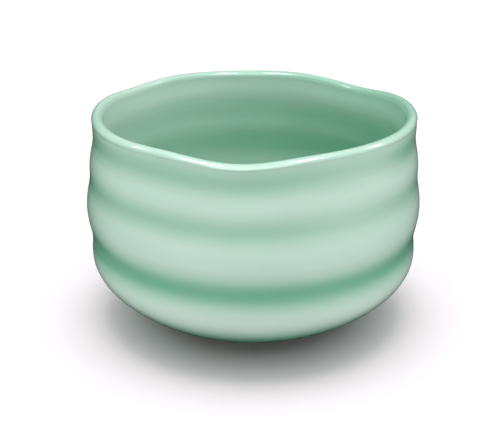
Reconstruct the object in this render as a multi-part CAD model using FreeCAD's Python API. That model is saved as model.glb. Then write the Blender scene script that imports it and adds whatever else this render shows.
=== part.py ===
import FreeCAD, Part
import math
import os

# Matcha bowl: a ridged clay pot under a thick glaze, standing on a turned foot ring.
# Millimetres, +Z up. The origin is the centre of the circle that the foot rests on, and the front,
# where the lip dips a little, faces -Y. Angles round the bowl are in degrees from the front towards +X.

# Lip: the centre line of its round edge, before the dips in it.
LIP_RADIUS = 54.8
LIP_HEIGHT = 77.0
LIP_ROUND = 1.9

# Glaze, and the stretch where the clay shows between it and the foot.
GLAZE_THICKNESS = 0.45
GLAZE_EDGE_RADIUS = 26.4
GLAZE_EDGE_HEIGHT = 3.4

# Outside wall as (radius, height), from the glaze's edge under the bowl up to the lip, without grooves.
OUTSIDE_LINE = [
    (GLAZE_EDGE_RADIUS, GLAZE_EDGE_HEIGHT),
    (35.3, 4.8),
    (44.3, 9.2),
    (52.9, 15.8),
    (57.7, 22.2),
    (59.9, 37.5),
    (59.0, 50.0),
    (57.9, 62.5),
    (LIP_RADIUS + LIP_ROUND, LIP_HEIGHT),
]

# Inside wall in the same way, from the lip down to the level middle of the tea pool.
POOL_RADIUS = 8.0
POOL_HEIGHT = 9.6
INSIDE_LINE = [
    (LIP_RADIUS - LIP_ROUND, LIP_HEIGHT),
    (53.4, 64.0),
    (54.2, 50.0),
    (54.4, 37.5),
    (51.8, 25.0),
    (44.8, 16.4),
    (33.0, 11.6),
    (20.0, 9.9),
    (POOL_RADIUS, POOL_HEIGHT),
]

# Throwing grooves round the wall, as (height, depth, half width). Each shows inside as a low ridge.
GROOVES = [
    (69.8, 0.75, 5.4),
    (54.4, 0.53, 4.7),
    (33.0, 2.0, 7.0),
]
INSIDE_GROOVE_SHARE = 0.75

# Dips in the lip, as (angle, depth, half width in degrees), with one slight rise as a depth below zero.
# They fade out down the wall.
LIP_DIPS = [
    (-30.0, -0.4, 13.0),
    (-5.0, 2.0, 18.5),
    (132.0, 2.7, 22.0),
    (183.0, 2.6, 44.0),
    (-124.0, 1.4, 17.0),
]
DIPS_FADE_HEIGHT = 34.0
DIPS_FADE_POWER = 1.5

# How far the bowl is out of round, as (lobes, radial swing, angle of the first lobe).
RIM_LOBES = [(2, 0.5, 0.0), (3, 0.9, 66.0)]
BELLY_LOBES = [(2, 0.5, 88.0), (3, 0.5, 4.0)]
BELLY_HEIGHT = 40.0
ROUND_BELOW_HEIGHT = 6.0

# Foot ring, as its radii where it rests and where it joins the floor, and the well inside it.
FOOT_REST_OUTER = 24.3
FOOT_REST_INNER = 21.6
FOOT_JOINT_OUTER = 25.5
FOOT_JOINT_INNER = 20.2
FOOT_EDGE_ROUND = 0.6
WELL_DEPTH = 1.1

# How closely the walls are sampled before smooth surfaces are passed through the samples.
STEPS_ROUND = 60
STEPS_WALL = 32
STEPS_LIP = 8


def spline(points):
    """A smooth curve through points (radius, height)."""
    curve = Part.BSplineCurve()
    curve.interpolate([FreeCAD.Vector(radius, height, 0) for radius, height in points])
    return curve


def hump(away, half_width):
    """1 at the middle of a hump, falling smoothly to nothing on both sides."""
    return math.exp(-((away / half_width) ** 2))


def grooved(line, share):
    """Samples along a wall line, set inwards at each groove by a share of its depth."""
    samples = []
    for point in spline(line).discretize(Number=STEPS_WALL):
        inset = sum(depth * hump(point.y - height, width) for height, depth, width in GROOVES)
        samples.append((point.x - share * inset, point.y))
    return samples


def lip_arc():
    """Samples over the round edge of the lip, without its two ends."""
    angles = [math.pi * step / STEPS_LIP for step in range(1, STEPS_LIP)]
    return [(LIP_RADIUS + LIP_ROUND * math.cos(a), LIP_HEIGHT + LIP_ROUND * math.sin(a)) for a in angles]


def smooth_step(value, start, end):
    """0 up to start and 1 from end, with an even curve between."""
    share = min(1.0, max(0.0, (value - start) / (end - start)))
    return share * share * (3.0 - 2.0 * share)


def dip(angle):
    """How far the lip drops at an angle in degrees."""
    drop = 0.0
    for middle, depth, width in LIP_DIPS:
        away = (angle - middle + 180.0) % 360.0 - 180.0
        drop += depth * hump(away, width)
    return drop


def swing(lobes, angle):
    """How far a ring of the bowl is out of round at an angle in degrees."""
    return sum(size * math.cos(math.radians(count * (angle - first))) for count, size, first in lobes)


def on_bowl(radius, height, angle):
    """The point of the real, uneven bowl for a point of its section at an angle in degrees."""
    upper = smooth_step(height, BELLY_HEIGHT, LIP_HEIGHT)
    lower = smooth_step(height, ROUND_BELOW_HEIGHT, BELLY_HEIGHT)
    radius += upper * swing(RIM_LOBES, angle) + (1.0 - upper) * lower * swing(BELLY_LOBES, angle)
    fade = max(0.0, (height - DIPS_FADE_HEIGHT) / (LIP_HEIGHT - DIPS_FADE_HEIGHT)) ** DIPS_FADE_POWER
    turn = math.radians(angle)
    return FreeCAD.Vector(radius * math.sin(turn), -radius * math.cos(turn), height - fade * dip(angle))


def wall_surface(inset):
    """The whole pot's skin from glaze edge to tea pool, set in from the glazed face by inset."""
    outline = grooved(OUTSIDE_LINE, 1.0) + lip_arc() + grooved(INSIDE_LINE, INSIDE_GROOVE_SHARE)
    lengths = [0.0]
    for (r0, h0), (r1, h1) in zip(outline, outline[1:]):
        lengths.append(lengths[-1] + math.hypot(r1 - r0, h1 - h0))
    section = Part.BSplineCurve()
    section.interpolate(Points=[FreeCAD.Vector(r, h, 0) for r, h in outline], Parameters=lengths)
    rings = []
    for length in lengths:
        point = section.value(length)
        along = section.tangent(length)[0]
        radius = point.x - inset * along.y
        height = point.y + inset * along.x
        ring = [on_bowl(radius, height, 360.0 * step / STEPS_ROUND) for step in range(STEPS_ROUND)]
        curve = Part.BSplineCurve()
        curve.interpolate(Points=ring, PeriodicFlag=True, Parameters=list(range(STEPS_ROUND + 1)))
        rings.append(curve)
    columns = []
    for column_points in zip(*(ring.getPoles() for ring in rings)):
        curve = Part.BSplineCurve()
        curve.interpolate(Points=list(column_points), Parameters=lengths)
        columns.append(curve)
    surface = Part.BSplineSurface()
    surface.buildFromPolesMultsKnots(
        [list(row) for row in zip(*(column.getPoles() for column in columns))],
        columns[0].getMultiplicities(),
        rings[0].getMultiplicities(),
        columns[0].getKnots(),
        rings[0].getKnots(),
        False,
        True,
        3,
        3,
    )
    crest = lengths[STEPS_WALL + STEPS_LIP // 2 - 1]
    return surface, crest, lengths[-1]


def stretch(surface, start, end):
    """The part of a wall surface between two lengths along the section."""
    return surface.toShape(start, end, 0.0, float(STEPS_ROUND))


def ring_edge(surface, length):
    """The closed edge round a wall surface at a length along the section."""
    return surface.uIso(length).toShape()


def disc(surface, length):
    """The flat face that closes a wall surface at a level ring."""
    return Part.Face(Part.Wire(ring_edge(surface, length)))


def band(surface_a, surface_b, length):
    """The narrow face between two wall surfaces at one length along the section."""
    return Part.makeRuledSurface(ring_edge(surface_a, length), ring_edge(surface_b, length))


def closed_solid(faces):
    """The solid that faces enclose."""
    shell = Part.makeShell(faces)
    shell.sewShape()
    solid = Part.makeSolid(shell)
    if solid.Volume < 0:
        solid.reverse()
    return solid


def foot_ring(joint_height):
    """The turned ring, tapered to its level resting face, with both edges of that face rounded."""
    section = Part.makePolygon(
        [
            FreeCAD.Vector(FOOT_REST_INNER, 0, 0),
            FreeCAD.Vector(FOOT_REST_OUTER, 0, 0),
            FreeCAD.Vector(FOOT_JOINT_OUTER, 0, joint_height),
            FreeCAD.Vector(FOOT_JOINT_INNER, 0, joint_height),
            FreeCAD.Vector(FOOT_REST_INNER, 0, 0),
        ]
    )
    ring = Part.Face(section).revolve(FreeCAD.Vector(0, 0, 0), FreeCAD.Vector(0, 0, 1), 360)
    resting = [edge for edge in ring.Edges if edge.BoundBox.ZMax < FOOT_EDGE_ROUND]
    round_edges = [edge for edge in resting if edge.BoundBox.XLength > FOOT_REST_INNER]
    return ring.makeFillet(FOOT_EDGE_ROUND, round_edges)


def well_cutter(joint_height):
    """The shallow dome that is trimmed out of the floor inside the foot ring."""
    dome_radius = (FOOT_JOINT_INNER**2 + WELL_DEPTH**2) / (2.0 * WELL_DEPTH)
    ball = Part.makeSphere(dome_radius, FreeCAD.Vector(0, 0, joint_height + WELL_DEPTH - dome_radius))
    lower_end = FreeCAD.Vector(0, 0, joint_height - 2.0 * dome_radius)
    return ball.cut(Part.makeCylinder(dome_radius, 2.0 * dome_radius, lower_end))


glazed, crest, pool = wall_surface(0.0)
clay, crest, pool = wall_surface(GLAZE_THICKNESS)
joint_height = ring_edge(clay, 0.0).BoundBox.ZMin

pot = closed_solid([stretch(clay, 0.0, pool), disc(clay, 0.0), disc(clay, pool)])
nodes = {
    "clay_body": pot.cut(well_cutter(joint_height)),
    "foot_ring": foot_ring(joint_height),
    "outer_glaze": closed_solid(
        [stretch(glazed, 0.0, crest), stretch(clay, 0.0, crest)]
        + [band(glazed, clay, 0.0), band(glazed, clay, crest)]
    ),
    "inner_glaze": closed_solid(
        [stretch(glazed, crest, pool), stretch(clay, crest, pool), band(glazed, clay, crest)]
        + [disc(glazed, pool), disc(clay, pool)]
    ),
}

os.makedirs("parts", exist_ok=True)
for name, shape in nodes.items():
    shape.exportStep(f"parts/{name}.step")
    box = shape.BoundBox
    print(name, "valid", shape.isValid(), "solids", len(shape.Solids), "volume", round(shape.Volume))
    print("  x", round(box.XMin, 2), round(box.XMax, 2), "y", round(box.YMin, 2), round(box.YMax, 2), end=" ")
    print("z", round(box.ZMin, 2), round(box.ZMax, 2))
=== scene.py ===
import math

import bpy
import numpy as np
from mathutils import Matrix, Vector


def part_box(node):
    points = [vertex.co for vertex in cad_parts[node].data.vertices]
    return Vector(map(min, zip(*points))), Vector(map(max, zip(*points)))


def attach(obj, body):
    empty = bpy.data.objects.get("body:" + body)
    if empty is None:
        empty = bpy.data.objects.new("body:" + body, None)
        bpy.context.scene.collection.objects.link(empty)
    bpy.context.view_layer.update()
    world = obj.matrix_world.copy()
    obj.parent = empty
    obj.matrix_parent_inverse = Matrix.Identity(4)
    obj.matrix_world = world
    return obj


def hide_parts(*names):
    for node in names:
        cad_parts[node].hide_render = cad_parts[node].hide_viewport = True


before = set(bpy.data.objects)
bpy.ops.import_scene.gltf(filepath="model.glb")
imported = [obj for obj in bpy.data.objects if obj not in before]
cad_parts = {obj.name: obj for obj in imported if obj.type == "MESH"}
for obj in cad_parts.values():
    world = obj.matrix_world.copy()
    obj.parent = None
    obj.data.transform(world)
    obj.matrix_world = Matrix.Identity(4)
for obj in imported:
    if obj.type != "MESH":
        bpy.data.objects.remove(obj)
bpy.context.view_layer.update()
foot_low, foot_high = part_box("foot_ring")

# Matcha bowl: its glaze, its clay and its foot, as meshes over the CAD model, and the stage it is shown on.

# The bowl's own sizes, in millimetres as on the CAD model. Meshes are made in metres.
MM = 0.001

LIP_RADIUS = 54.8
LIP_HEIGHT = 77.0
LIP_ROUND = 1.9
GLAZE_THICKNESS = 0.45
JOINT_HEIGHT = foot_high.z / MM

# The glaze's face lies this far within the CAD model's, and the clay this far within the glaze.
FACE_SETBACK = 0.02
CLAY_SETBACK = 0.03

# Walls as (radius, height): the outside from the glaze's edge up to the lip, and the inside from the lip
# down to the pool.
OUTSIDE_LINE = [
    (26.4, 3.4),
    (35.3, 4.8),
    (44.3, 9.2),
    (52.9, 15.8),
    (57.7, 22.2),
    (59.9, 37.5),
    (59.0, 50.0),
    (57.9, 62.5),
    (LIP_RADIUS + LIP_ROUND, LIP_HEIGHT),
]
POOL_RADIUS = 8.0
POOL_HEIGHT = 9.6
INSIDE_LINE = [
    (LIP_RADIUS - LIP_ROUND, LIP_HEIGHT),
    (53.4, 64.0),
    (54.2, 50.0),
    (54.4, 37.5),
    (51.8, 25.0),
    (44.8, 16.4),
    (33.0, 11.6),
    (20.0, 9.9),
    (POOL_RADIUS, POOL_HEIGHT),
]

# Throwing grooves as (height, depth, half width), and the share of their depth that shows inside.
GROOVES = [(69.8, 0.75, 5.4), (54.4, 0.53, 4.7), (33.0, 2.0, 7.0)]
INSIDE_GROOVE_SHARE = 0.75

# Unevenness: lip dips as (angle, depth, half width), lobes as (count, radial swing, angle of the first).
# Angles are in degrees from the front towards +X.
LIP_DIPS = [
    (-30.0, -0.4, 13.0),
    (-5.0, 2.0, 18.5),
    (132.0, 2.7, 22.0),
    (183.0, 2.6, 44.0),
    (-124.0, 1.4, 17.0),
]
DIPS_FADE_HEIGHT = 34.0
DIPS_FADE_POWER = 1.5
RIM_LOBES = [(2, 0.5, 0.0), (3, 0.9, 66.0)]
BELLY_LOBES = [(2, 0.5, 88.0), (3, 0.5, 4.0)]
BELLY_HEIGHT = 40.0
ROUND_BELOW_HEIGHT = 6.0

# Foot ring, as on the CAD model, and the well inside it with its small raised middle.
FOOT_REST_OUTER = 24.3
FOOT_REST_INNER = 21.6
FOOT_JOINT_OUTER = 25.5
FOOT_JOINT_INNER = 20.2
FOOT_EDGE_ROUND = 0.6
WELL_DEPTH = 1.1
NUB_HEIGHT = 0.7
NUB_HALF_WIDTH = 3.2
WELL_MIDDLE_RADIUS = 0.6
WELL_SMOOTH_RIM = 1.0

# Fine marks of the potter's fingers on the walls and of the trimming tool on the foot: size and spacing.
# Finger marks come and go this many times round the bowl, and by this many radians up each millimetre.
# They fade out within about these distances of the lip and of the glaze's edge.
FINGER_LINES = [(0.008, 3.7), (0.006, 5.9)]
FINGER_FADES = (2.0, 0.13)
FINGER_END_LIP = 5.0
FINGER_END_EDGE = 8.0
TRIM_LINE = (0.05, 1.15)

# How deep the glaze's colour is, from 0 for the thinnest glaze to 1 for a full pool. It is thin on bulges,
# which is also a painted sheen there, and gathers in and just above the grooves, which is also painted shade
# on their downward-facing sides, with a little more on the lip. The pool low down under the belly is mostly
# painted shade, and the small negative one above it is a painted sheen on the lower bulge.
# BULGE_DEPTH_AND_SHEEN is the outside's own depth, and HOLLOW_DEPTH_AND_SHADE the inside's. Each pool or
# ridge is (height, change of depth, half width).
BULGE_DEPTH_AND_SHEEN = 0.14
POOLS_SHADE_AND_SHEEN_OUTSIDE = [
    (72.2, 0.50, 4.8),
    (56.0, 0.44, 4.8),
    (33.7, 0.86, 5.2),
    (23.0, -0.1, 5.0),
    (12.0, 0.85, 5.6),
]
# Inside, the deeper colour is partly painted shade over the whole hollow, and the ridges are thinner glaze
# that also stands for painted light on the ripples and on the bottom.
HOLLOW_DEPTH_AND_SHADE = 0.78
RIDGES_AND_SHEEN_INSIDE = [(72.5, -0.54, 9.5), (56.0, -0.18, 4.5), (39.0, -0.32, 4.5), (9.0, -0.30, 3.0)]
LIP_DEEPENING = 0.12
LIP_DEEP_WIDTH = 3.0

# The inside's colour is deeper towards one angle, by up to the first value: painted shade on the right of
# the inside. Patches outside are painted shade near the left and right sides and in the top groove towards
# the front right, and painted sheen in the upper bands towards the front right, as (angle, height, change of
# depth, half width in degrees, half height).
INSIDE_SHADE_LEAN = (0.30, 100.0)
SHADE_AND_SHEEN_PATCHES = [
    (-84.0, 45.0, 0.42, 24.0, 60.0),
    (100.0, 45.0, 0.25, 26.0, 60.0),
    (38.0, 72.0, -0.22, 20.0, 5.0),
    (36.0, 56.0, -0.18, 20.0, 5.0),
    (62.0, 71.0, 0.22, 10.0, 4.0),
]

# Where the glaze ends above the foot, its line wanders along the wall by about this much, over a stretch
# of this length. Its rounded end sticks out by EDGE_BULGE half thicknesses.
EDGE_WANDER = 0.9
EDGE_WANDER_REACH = 7.0
EDGE_LOBES = [(3, 0.22, 20.0), (5, 0.15, 75.0), (11, 0.08, 10.0)]
EDGE_BULGE = 1.4

# The clay is flashed orange within about this far of the glaze's edge.
FLASH_WIDTH = 2.2

# The flat stretch over the foot ring stops this far short of the wall above it and of the well.
FLAT_GAPS = (0.1, 0.3)

# How finely curves are followed, as counts of points, and of points per point of an outline.
STEPS_ROUND = 360
STEPS_WALL = 190
STEPS_BACK = STEPS_WALL // 4
STEPS_CLAY = STEPS_WALL // 3
STEPS_LIP = 26
STEPS_EDGE = 9
STEPS_UNDER_FOOT = 12
STEPS_WELL = 80
STEPS_FOOT = 34
STEPS_CORNER = 8
STEPS_CURVE = 40


# ---------------------------------------------------------------- shape


def lengths(path):
    """How far along a path each of its points is."""
    return np.concatenate([[0.0], np.cumsum(np.linalg.norm(np.diff(path, axis=0), axis=1))])


def evenly(path, count):
    """count points, evenly spaced, along a path of close points."""
    s = lengths(path)
    at = np.linspace(0.0, s[-1], count)
    return np.stack([np.interp(at, s, path[:, k]) for k in range(2)], axis=1)


def spline(points, count):
    """count points, evenly spaced, on a natural cubic curve through points."""
    p = np.array(points, float)
    t = lengths(p)
    gap = np.diff(t)
    matrix = np.eye(len(p))
    right = np.zeros_like(p)
    for i in range(1, len(p) - 1):
        matrix[i, i - 1 : i + 2] = gap[i - 1], 2.0 * (gap[i - 1] + gap[i]), gap[i]
        right[i] = 6.0 * ((p[i + 1] - p[i]) / gap[i] - (p[i] - p[i - 1]) / gap[i - 1])
    bend = np.linalg.solve(matrix, right)
    fine = np.linspace(0.0, t[-1], STEPS_CURVE * len(p))
    i = np.clip(np.searchsorted(t, fine, side="right") - 1, 0, len(gap) - 1)
    g = gap[i][:, None]
    a = (t[i + 1] - fine)[:, None]
    b = (fine - t[i])[:, None]
    curve = (bend[i] * a**3 + bend[i + 1] * b**3) / (6.0 * g)
    curve += (p[i] / g - bend[i] * g / 6.0) * a + (p[i + 1] / g - bend[i + 1] * g / 6.0) * b
    return evenly(curve, count)


def hump(value, middle, half_width):
    """1 at the middle, falling smoothly to nothing on both sides."""
    return np.exp(-(((value - middle) / half_width) ** 2))


def grooved(path, share):
    """A wall path set inwards at each groove by a share of its depth."""
    path = path.copy()
    for height, depth, width in GROOVES:
        path[:, 0] -= share * depth * hump(path[:, 1], height, width)
    return path


def smooth_step(value, start, end):
    """0 up to start and 1 from end, with an even curve between."""
    share = np.clip((value - start) / (end - start), 0.0, 1.0)
    return share * share * (3.0 - 2.0 * share)


def away(angle, middle):
    """How far angles are from the middle of something, from -180 to 180 degrees."""
    return (angle - middle + 180.0) % 360.0 - 180.0


def dip(angle):
    """How far the lip drops at angles in degrees."""
    return sum(depth * hump(away(angle, middle), 0.0, width) for middle, depth, width in LIP_DIPS)


def swing(lobes, angle):
    """How far a ring of the bowl is out of round at angles in degrees."""
    return sum(size * np.cos(np.radians(count * (angle - first))) for count, size, first in lobes)


def on_bowl(radius, height, angle):
    """Points of the uneven bowl, in metres, for points of its section at angles in degrees."""
    upper = smooth_step(height, BELLY_HEIGHT, LIP_HEIGHT)
    lower = smooth_step(height, ROUND_BELOW_HEIGHT, BELLY_HEIGHT)
    radius = radius + upper * swing(RIM_LOBES, angle) + (1.0 - upper) * lower * swing(BELLY_LOBES, angle)
    fade = np.clip((height - DIPS_FADE_HEIGHT) / (LIP_HEIGHT - DIPS_FADE_HEIGHT), 0.0, None)
    height = height - fade**DIPS_FADE_POWER * dip(angle)
    turn = np.radians(angle)
    return np.stack([radius * np.sin(turn), -radius * np.cos(turn), height], axis=-1) * MM


def tangents(path):
    """Unit vectors along a path."""
    along = np.gradient(path, axis=0)
    return along / np.linalg.norm(along, axis=1, keepdims=True)


def normals(path):
    """Unit vectors square to a path, to its right as it runs."""
    along = tangents(path)
    return np.stack([along[:, 1], -along[:, 0]], axis=1)


ANGLES = np.arange(STEPS_ROUND) * 360.0 / STEPS_ROUND


def around(path):
    """The radius and the height of a section path, with a row per point and a column per step round."""
    return [np.repeat(path[:, k : k + 1], STEPS_ROUND, axis=1) for k in range(2)]


def spiral(distance, line):
    """The height of fine spiral lines at distances along a surface, for each step round."""
    size, spacing = line
    return size * np.sin(2.0 * math.pi * (distance / spacing + ANGLES[None, :] / 360.0))


def ringed_mesh(name, radius, height, attributes, material, poles=None):
    """A piece made of rings round the bowl, with values at its points for its material. Heights of two
    poles close it at the axis, or else its last ring joins its first."""
    rings, steps = radius.shape
    points = on_bowl(radius, height, ANGLES[None, :]).reshape(-1, 3)
    values = {key: value.ravel() for key, value in attributes.items()}
    last = rings - 1 if poles else rings
    faces = []
    for ring in range(last):
        here, there = ring * steps, (ring + 1) % rings * steps
        for step in range(steps):
            after = (step + 1) % steps
            faces.append((here + step, here + after, there + after, there + step))
    if poles:
        points = np.concatenate([points, [[0.0, 0.0, pole * MM] for pole in poles]])
        values = {key: np.concatenate([v, [v[0], v[-1]]]) for key, v in values.items()}
        for step in range(steps):
            after = (step + 1) % steps
            faces.append((rings * steps, after, step))
            faces.append((rings * steps + 1, (rings - 1) * steps + step, (rings - 1) * steps + after))
    mesh = bpy.data.meshes.new(name)
    mesh.from_pydata(points.tolist(), [], faces)
    mesh.validate()
    mesh.polygons.foreach_set("use_smooth", np.ones(len(mesh.polygons), bool))
    for key, value in values.items():
        mesh.attributes.new(key, "FLOAT", "POINT").data.foreach_set("value", value.astype(np.float32))
    mesh.materials.append(material)
    mesh.update()
    piece = bpy.data.objects.new(name, mesh)
    bpy.context.scene.collection.objects.link(piece)
    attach(piece, "root")
    return piece


# ---------------------------------------------------------------- materials

# Glaze colours for depth 0 and 1. The thin end is whitened a little beyond thin glaze, as a painted sheen.
THIN_GLAZE_AND_SHEEN = (0.485, 0.63, 0.55)
DEEP_GLAZE = (0.137, 0.37, 0.243)
GLAZE_ROUGHNESS = (0.36, 0.48)
PALE_CLAY = (0.78, 0.71, 0.60)
DARK_CLAY = (0.60, 0.52, 0.41)
FLASHED_CLAY = (0.52, 0.27, 0.13)
IRON_SPECK = (0.16, 0.09, 0.05)

# The flash shows from the first of these values on and is full at the second. It and the specks hide
# this much of the clay's own colour.
FLASH_RANGE = (0.15, 1.0)
FLASH_STRENGTH = 0.85
SPECK_STRENGTH = 0.8

# Most values of a noise lie in this range.
NOISE_RANGE = (0.3, 0.7)


class Nodes:
    """A new node material, with short calls for the nodes that the materials here use."""

    def __init__(self, name):
        self.material = bpy.data.materials.new(name)
        self.material.use_nodes = True
        self.tree = self.material.node_tree
        self.shader = self.tree.nodes["Principled BSDF"]
        self.place = self.add("ShaderNodeTexCoord").outputs["Object"]

    def add(self, kind):
        """A new node of a kind."""
        return self.tree.nodes.new(kind)

    def join(self, source, target):
        """A link from one node's output to another's input."""
        self.tree.links.new(source, target)

    def setting(self, name, value):
        """One value of the shader, the same all over."""
        self.shader.inputs[name].default_value = value

    def attribute(self, name):
        """A value stored at the points of the mesh."""
        node = self.add("ShaderNodeAttribute")
        node.attribute_name = name
        return node.outputs["Fac"]

    def noise(self, scale, detail=3.0, stretch=(1.0, 1.0, 1.0)):
        """Cloudy values about 0.5. scale is in features per metre before the stretch."""
        mapping = self.add("ShaderNodeMapping")
        mapping.inputs["Scale"].default_value = stretch
        self.join(self.place, mapping.inputs["Vector"])
        node = self.add("ShaderNodeTexNoise")
        node.inputs["Scale"].default_value = scale
        node.inputs["Detail"].default_value = detail
        self.join(mapping.outputs["Vector"], node.inputs["Vector"])
        return node.outputs["Fac"]

    def dots(self, scale, size):
        """1 in the middle of scattered dots, 0 outside them."""
        node = self.add("ShaderNodeTexVoronoi")
        node.inputs["Scale"].default_value = scale
        self.join(self.place, node.inputs["Vector"])
        return self.ranged(node.outputs["Distance"], (size, 0.0), (0.0, 1.0))

    def ranged(self, value, source, target):
        """A value moved from one range, as its two ends, to another, and kept within it."""
        node = self.add("ShaderNodeMapRange")
        for key, number in zip(("From Min", "From Max", "To Min", "To Max"), (*source, *target)):
            node.inputs[key].default_value = number
        self.join(value, node.inputs["Value"])
        return node.outputs["Result"]

    def plus(self, value, extra, share):
        """value + (extra - 0.5) * share"""
        node = self.add("ShaderNodeMath")
        node.operation = "ADD"
        self.join(value, node.inputs[0])
        self.join(self.ranged(extra, (0.0, 1.0), (-0.5 * share, 0.5 * share)), node.inputs[1])
        return node.outputs["Value"]

    def mix(self, share, start, end):
        """A colour between two, each a colour or an output."""
        node = self.add("ShaderNodeMix")
        node.data_type = "RGBA"
        self.join(share, node.inputs[0])
        for socket, colour in ((node.inputs[6], start), (node.inputs[7], end)):
            if isinstance(colour, tuple):
                socket.default_value = (*colour, 1.0)
            else:
                self.join(colour, socket)
        return node.outputs[2]

    def bump(self, height, size, below=None):
        """A normal for relief of a size in metres, over another normal if there is one."""
        node = self.add("ShaderNodeBump")
        node.inputs["Distance"].default_value = size
        self.join(height, node.inputs["Height"])
        if below:
            self.join(below, node.inputs["Normal"])
        return node.outputs["Normal"]


def glaze_material():
    """Glossy celadon: a soft sheen under a clear, sharp face, greener where the glaze is deeper, with faint
    clouds and level streaks. Its colour depth also holds painted sheen on the bulges and painted shade in
    the grooves, at the sides, under the belly and inside."""
    m = Nodes("celadon_glaze")
    m.setting("IOR", 1.5)
    m.setting("Coat Weight", 0.8)
    m.setting("Coat Roughness", 0.05)
    m.setting("Specular IOR Level", 0.2)
    clouds = m.noise(scale=38.0)
    streaks = m.noise(scale=1.0, detail=4.0, stretch=(16.0, 16.0, 340.0))
    # The colour depth: where the glaze pools, and also painted sheen on the bulges and painted shade in the
    # grooves, at the sides, under the belly and inside.
    depth = m.plus(m.attribute("depth_with_painted_light"), clouds, share=0.14)
    depth = m.plus(depth, streaks, share=0.12)
    m.join(m.mix(depth, THIN_GLAZE_AND_SHEEN, DEEP_GLAZE), m.shader.inputs["Base Color"])
    m.join(m.ranged(streaks, NOISE_RANGE, GLAZE_ROUGHNESS), m.shader.inputs["Roughness"])
    relief = m.bump(streaks, size=0.08 * MM)
    relief = m.bump(m.noise(scale=260.0, detail=2.0), size=0.03 * MM, below=relief)
    m.join(relief, m.shader.inputs["Normal"])
    m.join(relief, m.shader.inputs["Coat Normal"])
    return m.material


def clay_material():
    """Bare, matt stoneware with fine grain, iron specks, and an orange flash where the glaze ends."""
    m = Nodes("bare_clay")
    m.setting("Roughness", 0.88)
    m.setting("IOR", 1.45)
    grain = m.noise(scale=900.0, detail=6.0)
    colour = m.mix(grain, DARK_CLAY, PALE_CLAY)
    flash = m.plus(m.attribute("flash"), m.noise(scale=140.0), share=0.5)
    colour = m.mix(m.ranged(flash, FLASH_RANGE, (0.0, FLASH_STRENGTH)), colour, FLASHED_CLAY)
    specks = m.dots(scale=330.0, size=0.22)
    colour = m.mix(m.ranged(specks, (0.0, 1.0), (0.0, SPECK_STRENGTH)), colour, IRON_SPECK)
    m.join(colour, m.shader.inputs["Base Color"])
    relief = m.bump(m.noise(scale=450.0, detail=4.0), size=0.12 * MM)
    m.join(m.bump(grain, size=0.06 * MM, below=relief), m.shader.inputs["Normal"])
    return m.material


# ---------------------------------------------------------------- pieces


def skin(inset, steps_wall):
    """The section of the bowl's face from the tea pool over the lip to the glaze's edge, set in by inset."""
    inside = grooved(spline(INSIDE_LINE, steps_wall), INSIDE_GROOVE_SHARE)[::-1]
    outside = grooved(spline(OUTSIDE_LINE, steps_wall), 1.0)[::-1]
    turn = np.linspace(math.pi, 0.0, STEPS_LIP)[1:-1]
    arc = np.stack([LIP_RADIUS + LIP_ROUND * np.cos(turn), LIP_HEIGHT + LIP_ROUND * np.sin(turn)], axis=1)
    path = np.concatenate([inside, arc, outside])
    return path + inset * normals(path)


def depths_with_painted_light(path, inside):
    """How deep the glaze's colour is, for each point of a section path and each step round: pooling of the
    glaze, with painted sheen and painted shade mixed in.
    """
    height = path[:, 1]
    lean, lean_angle = INSIDE_SHADE_LEAN
    within = HOLLOW_DEPTH_AND_SHADE + sum(change * hump(height, at, width) for at, change, width in RIDGES_AND_SHEEN_INSIDE)
    outside = BULGE_DEPTH_AND_SHEEN + sum(change * hump(height, at, width) for at, change, width in POOLS_SHADE_AND_SHEEN_OUTSIDE)
    # Painted shade: deeper towards one side of the inside.
    within = within[:, None] + lean * np.cos(np.radians(ANGLES - lean_angle))[None, :]
    outside = np.repeat(outside[:, None], STEPS_ROUND, axis=1)
    # Painted shade near the sides and painted sheen towards the front right.
    for angle, at, change, half_angle, half_height in SHADE_AND_SHEEN_PATCHES:
        across = hump(away(ANGLES, angle), 0.0, half_angle)
        up = hump(height, at, half_height)
        outside = outside + change * across[None, :] * up[:, None]
    share = inside[:, None]
    depth = share * within + (1.0 - share) * outside
    return depth + LIP_DEEPENING * hump(height, LIP_HEIGHT + LIP_ROUND, LIP_DEEP_WIDTH)[:, None]


def finger_marks(face):
    """How far in the potter's fingers pressed the face, for each of its points and each step round."""
    s = lengths(face)
    turns, climb = FINGER_FADES
    strength = 0.5 + 0.5 * np.sin(np.radians(turns * ANGLES)[None, :] + climb * face[:, 1:])
    near_lip = hump(face[:, 1], LIP_HEIGHT + LIP_ROUND, FINGER_END_LIP)
    near_edge = hump(s, s[-1], FINGER_END_EDGE)
    strength = strength * np.clip(1.0 - near_lip - near_edge, 0.0, 1.0)[:, None]
    return strength * sum(line[0] - spiral(face[:, 1:], line) for line in FINGER_LINES)


def edge_shifts(face, bead, back):
    """How far the wandering of the glaze's edge draws points back along the wall, in radius and height."""
    along = tangents(np.concatenate([face, bead, back]))
    along[len(face) : len(face) + len(bead)] = along[len(face) - 1]
    along[len(face) + len(bead) :] *= -1.0
    s = lengths(face)
    from_edge = np.concatenate([s[-1] - s, np.zeros(len(bead)), lengths(back)])
    near = 1.0 - smooth_step(from_edge, 0.0, EDGE_WANDER_REACH)
    shift = near[:, None] * EDGE_WANDER * (0.5 + swing(EDGE_LOBES, ANGLES))[None, :]
    return along[:, :1] * shift, along[:, 1:] * shift


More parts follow.
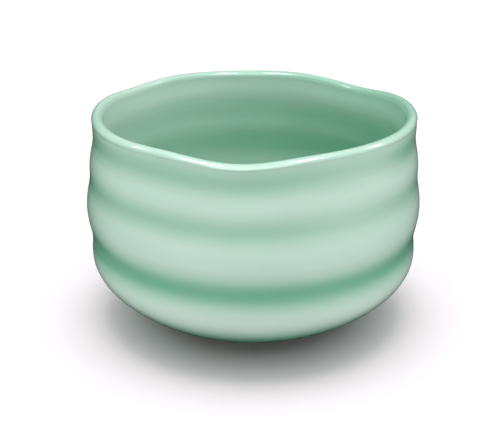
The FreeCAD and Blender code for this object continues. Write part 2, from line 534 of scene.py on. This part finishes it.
def glaze_coat(material):
    """Both coats of glaze as fired: one closed skin, with a rolled, wandering edge above the foot."""
    face = skin(FACE_SETBACK, STEPS_WALL)
    back = skin(GLAZE_THICKNESS, STEPS_BACK)[::-1]
    turn = np.linspace(0.0, math.pi, STEPS_EDGE)[1:-1]
    middle = (face[-1] + back[0]) / 2.0
    bead = middle + 0.5 * GLAZE_THICKNESS * np.stack([-EDGE_BULGE * np.sin(turn), -np.cos(turn)], axis=1)
    path = np.concatenate([face, bead, back])
    radius, height = around(path)
    radius[: len(face)] -= finger_marks(face)
    radius_shift, height_shift = edge_shifts(face, bead, back)
    radius -= radius_shift
    height -= height_shift

    # The inside coat meets the outside one at the crest of the lip.
    s = lengths(face)
    crest = s[np.argmax(face[:, 1])]
    inside = np.zeros(len(path))
    inside[: len(face)] = 1.0 - smooth_step(s, crest - LIP_ROUND, crest + LIP_ROUND)
    # The colour depth, with painted sheen and painted shade in it.
    values = {"depth_with_painted_light": depths_with_painted_light(path, inside)}
    poles = (POOL_HEIGHT, POOL_HEIGHT - GLAZE_THICKNESS)
    piece = ringed_mesh("glaze_coat", radius, height, values, material, poles)
    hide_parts("outer_glaze", "inner_glaze")


def flash_near(radius):
    """How much the clay is flashed orange, at radii: most beside the edge of the glaze."""
    return hump(radius, OUTSIDE_LINE[0][0], FLASH_WIDTH)


def turned_clay(material):
    """The clay pot under its glaze, with the trimmed well inside the foot ring."""
    wall = skin(GLAZE_THICKNESS + CLAY_SETBACK, STEPS_CLAY)
    well_radius = np.linspace(FOOT_JOINT_INNER, WELL_MIDDLE_RADIUS, STEPS_WELL)
    dome_radius = (FOOT_JOINT_INNER**2 + WELL_DEPTH**2) / (2.0 * WELL_DEPTH)
    well_height = JOINT_HEIGHT + WELL_DEPTH - dome_radius + np.sqrt(dome_radius**2 - well_radius**2)
    well_height -= NUB_HEIGHT * hump(well_radius, 0.0, NUB_HALF_WIDTH)
    flat_ends = (wall[-1, 0] - FLAT_GAPS[0], FOOT_JOINT_INNER + FLAT_GAPS[1])
    flat = spline([(radius, JOINT_HEIGHT) for radius in flat_ends], STEPS_UNDER_FOOT)
    path = np.concatenate([wall, flat, np.stack([well_radius, well_height], axis=1)])
    radius, height = around(path)
    well_rows = slice(len(path) - len(well_radius), None)
    fade = smooth_step(well_radius, WELL_MIDDLE_RADIUS, NUB_HALF_WIDTH)
    fade = fade * smooth_step(FOOT_JOINT_INNER - well_radius, 0.0, WELL_SMOOTH_RIM)
    height[well_rows] += spiral(well_radius[:, None], TRIM_LINE) * fade[:, None]
    values = {"flash": flash_near(radius)}
    poles = (POOL_HEIGHT - GLAZE_THICKNESS, path[-1, 1])
    piece = ringed_mesh("turned_clay", radius, height, values, material, poles)
    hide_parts("clay_body")


def round_corner(corner, before, after, size):
    """Points of a rounded corner of a section, which starts and ends size away from the corner."""
    corner, before, after = (np.array(point) for point in (corner, before, after))
    start = corner + size * (before - corner) / np.linalg.norm(before - corner)
    end = corner + size * (after - corner) / np.linalg.norm(after - corner)
    t = np.linspace(0.0, 1.0, STEPS_CORNER)[:, None]
    return (1.0 - t) ** 2 * start + 2.0 * t * (1.0 - t) * corner + t**2 * end


def turned_foot(material):
    """The trimmed foot ring, with the marks of the tool and softly rounded resting edges."""
    outer_top = (FOOT_JOINT_OUTER, JOINT_HEIGHT)
    inner_top = (FOOT_JOINT_INNER, JOINT_HEIGHT)
    outer_rest = (FOOT_REST_OUTER, 0.0)
    inner_rest = (FOOT_REST_INNER, 0.0)
    outer = round_corner(outer_rest, outer_top, inner_rest, FOOT_EDGE_ROUND)
    inner = round_corner(inner_rest, outer_rest, inner_top, FOOT_EDGE_ROUND)
    face_out = evenly(np.array([outer_top, outer[0]]), STEPS_FOOT)
    face_in = evenly(np.array([inner[-1], inner_top]), STEPS_FOOT)
    path = np.concatenate([face_out[:-1], outer, inner, face_in[1:]])
    radius, height = around(path)
    marks = smooth_step(height, FOOT_EDGE_ROUND, 2.0 * FOOT_EDGE_ROUND)
    radius -= np.abs(spiral(path[:, 1:], TRIM_LINE)) * marks
    values = {"flash": flash_near(radius)}
    piece = ringed_mesh("turned_foot", radius, height, values, material)
    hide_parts("foot_ring")


glaze_coat(glaze_material())
clay = clay_material()
turned_clay(clay)
turned_foot(clay)


# ---------------------------------------------------------------- stage, light and camera

# Metres from here on. The floor's white leans to pink, against the green light that the bowl throws on it.
FLOOR_HALF = 6.0
FLOOR_WHITE = (0.92, 0.85, 0.89)

# Even light from all round: to the camera, on surfaces, and in gloss. In gloss it fades in above the
# horizon, over this much of the height of the sky.
BACKDROP_WHITE = 1.0
WORLD_STRENGTH = 0.27
WORLD_IN_GLOSS = 0.25
HORIZON_BLEND = 0.3

# Softboxes that face MIDDLE from BOX_DISTANCE, as (name, azimuth from the front towards +X, elevation,
# width, height, watts). Those in BOWL_LIGHTS light only the bowl and don't show in its gloss. Those in
# GLEAMS show only in its gloss.
MIDDLE = Vector((0.0, 0.0, 0.04))
BOX_DISTANCE = 2.4
BOWL_LIGHTS = [
    ("top", 0.0, 88.0, 1.2, 1.2, 35.0),
    ("front", 0.0, 30.0, 1.0, 1.0, 11.0),
    ("front_right", 45.0, 30.0, 1.0, 1.0, 6.0),
    ("right", 90.0, 24.0, 1.0, 1.2, 14.0),
    ("left", 280.0, 4.0, 1.0, 1.0, 14.0),
    ("left_high", 270.0, 52.0, 1.2, 1.2, 16.0),
    ("back_left", 225.0, 50.0, 1.2, 1.2, 6.0),
    ("back_right", 135.0, 50.0, 1.2, 1.2, 8.0),
]
GLEAMS = [
    ("gleam_front", 0.0, 38.0, 1.6, 1.1, 34.0),
    ("gleam_left", 317.0, 66.0, 0.55, 0.9, 55.0),
    ("gleam_right", 46.0, 64.0, 0.55, 0.9, 55.0),
    ("gleam_far_left", 259.0, 42.0, 0.2, 0.5, 12.0),
    ("gleam_far_right", 101.0, 38.0, 0.2, 0.5, 12.0),
]
# A dome of even light from the front on the bowl alone, and wide overhead light on the floor alone, as
# (name, elevation, how wide it looks in degrees, strength).
BOWL_DOME = ("bowl_dome", 35.0, 175.0, 1.10)
FLOOR_LIGHTS = [("floor_wide", 90.0, 105.0, 2.25), ("floor_narrow", 90.0, 32.0, 0.9)]


def make_floor():
    """A wide, plain white floor at the height that the foot rests on."""
    mesh = bpy.data.meshes.new("floor")
    corners = [(-1.0, -1.0), (1.0, -1.0), (1.0, 1.0), (-1.0, 1.0)]
    mesh.from_pydata([(FLOOR_HALF * x, FLOOR_HALF * y, foot_low.z) for x, y in corners], [], [(0, 1, 2, 3)])
    floor = bpy.data.objects.new("floor", mesh)
    bpy.context.scene.collection.objects.link(floor)
    m = Nodes("white_floor")
    m.setting("Base Color", (*FLOOR_WHITE, 1.0))
    m.setting("Roughness", 0.9)
    m.setting("Specular IOR Level", 0.0)
    mesh.materials.append(m.material)
    floor.visible_glossy = False
    return floor


def light_group(name, objects):
    """A collection of objects for lights to shine on alone."""
    group = bpy.data.collections.new(name)
    for item in objects:
        group.objects.link(item)
    return group


def add_light(name, kind, group):
    """A lamp that the camera doesn't see and that shines on a group alone."""
    lamp = bpy.data.objects.new(name, bpy.data.lights.new(name, kind))
    bpy.context.scene.collection.objects.link(lamp)
    lamp.visible_camera = False
    lamp.light_linking.receiver_collection = group
    return lamp


def soft_box(box, group):
    """A flat lamp that faces the middle of the bowl."""
    name, azimuth, elevation, width, height, power = box
    lamp = add_light(name, "AREA", group)
    lamp.data.shape = "RECTANGLE"
    lamp.data.size, lamp.data.size_y = width, height
    lamp.data.energy = power
    a, e = math.radians(azimuth), math.radians(elevation)
    back = Vector((math.sin(a) * math.cos(e), -math.cos(a) * math.cos(e), math.sin(e)))
    lamp.location = MIDDLE + back * BOX_DISTANCE
    lamp.rotation_euler = (-back).to_track_quat("-Z", "Y").to_euler()
    return lamp


def wide_sun(sun, group):
    """Far light from the front that looks like a disc, or a whole sky, to what it lights."""
    name, elevation, spread, strength = sun
    lamp = add_light(name, "SUN", group)
    lamp.data.angle = math.radians(spread)
    lamp.data.energy = strength
    lamp.location = (0.0, 0.0, BOX_DISTANCE)
    lamp.rotation_euler = (math.radians(90.0 - elevation), 0.0, 0.0)
    return lamp


def make_world():
    """Even, dim light from all round that looks like a white room to the camera."""
    world = bpy.data.worlds.new("studio")
    bpy.context.scene.world = world
    world.use_nodes = True
    nodes, links = world.node_tree.nodes, world.node_tree.links
    background = nodes["Background"]
    background.inputs["Color"].default_value = (1.0, 1.0, 1.0, 1.0)
    rays = nodes.new("ShaderNodeLightPath")
    place = nodes.new("ShaderNodeTexCoord")
    parts = nodes.new("ShaderNodeSeparateXYZ")
    links.new(place.outputs["Generated"], parts.inputs["Vector"])
    above = nodes.new("ShaderNodeMapRange")
    above.inputs["To Max"].default_value = WORLD_IN_GLOSS
    above.inputs["From Max"].default_value = HORIZON_BLEND
    links.new(parts.outputs["Z"], above.inputs["Value"])
    gloss = nodes.new("ShaderNodeMix")
    gloss.inputs["A"].default_value = WORLD_STRENGTH
    links.new(rays.outputs["Is Glossy Ray"], gloss.inputs["Factor"])
    links.new(above.outputs["Result"], gloss.inputs["B"])
    strength = nodes.new("ShaderNodeMix")
    strength.inputs["B"].default_value = BACKDROP_WHITE
    links.new(rays.outputs["Is Camera Ray"], strength.inputs["Factor"])
    links.new(gloss.outputs["Result"], strength.inputs["A"])
    links.new(strength.outputs["Result"], background.inputs["Strength"])


def make_lights(floor):
    """Separate light for the bowl, for its gloss and for the floor."""
    pieces = [item for item in bpy.context.scene.objects if item.type == "MESH" and item != floor]
    bowl_group = light_group("lit_bowl", pieces)
    floor_group = light_group("lit_floor", [floor])
    for box in BOWL_LIGHTS:
        soft_box(box, bowl_group).visible_glossy = False
    for box in GLEAMS:
        soft_box(box, bowl_group).visible_diffuse = False
    wide_sun(BOWL_DOME, bowl_group).visible_glossy = False
    for sun in FLOOR_LIGHTS:
        wide_sun(sun, floor_group)


# The camera looks at CAMERA_AIM from the front. Its elevation is in degrees, its lens and sensor in mm.
CAMERA_AIM = Vector((-0.00124, 0.0, 0.0370))
CAMERA_DISTANCE = 0.387
CAMERA_ELEVATION = 22.9
CAMERA_LENS = 76.4
CAMERA_SENSOR = 36.0


def make_camera():
    """The camera that the main picture is taken with."""
    data = bpy.data.cameras.new("camera")
    data.lens = CAMERA_LENS
    data.sensor_width = CAMERA_SENSOR
    camera = bpy.data.objects.new("camera", data)
    bpy.context.scene.collection.objects.link(camera)
    tilt = math.radians(CAMERA_ELEVATION)
    back = Vector((0.0, -math.cos(tilt), math.sin(tilt)))
    camera.location = CAMERA_AIM + back * CAMERA_DISTANCE
    camera.rotation_euler = (-back).to_track_quat("-Z", "Y").to_euler()
    bpy.context.scene.camera = camera


make_world()
make_lights(make_floor())
make_camera()
bpy.context.scene.view_settings.view_transform = "Standard"
